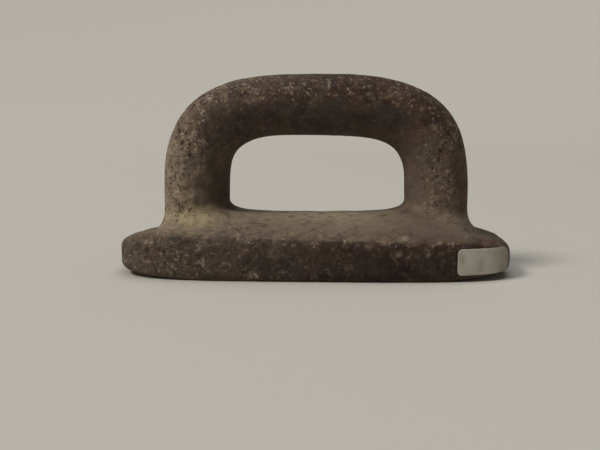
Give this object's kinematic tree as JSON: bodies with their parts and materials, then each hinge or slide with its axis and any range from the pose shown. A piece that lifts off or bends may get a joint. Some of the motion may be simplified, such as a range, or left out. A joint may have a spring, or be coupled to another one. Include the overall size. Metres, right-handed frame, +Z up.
{
  "type": "stone pounder",
  "caption": "Hand pounder carved from solid basalt: a flat, crowned base with a stirrup handle round a finger opening, and a small blank paper label on its front corner.",
  "frame": {"origin": "on the rest plane, which is the flat of the pounding face, under the middle of the base", "axes": "+X along the base towards the labelled end, +Y from the labelled front to the back, +Z up from the pounding face to the handle"},
  "size_m": [0.177, 0.075, 0.0897],
  "materials": {
    "weathered_basalt": "pecked and ground basalt, weathered brown-grey, matt",
    "aged_paper": "aged off-white paper, matt"
  },
  "bodies": {
    "root": {"stone_body": "weathered_basalt", "paper_label": "aged_paper"}
  },
  "joints": []
}
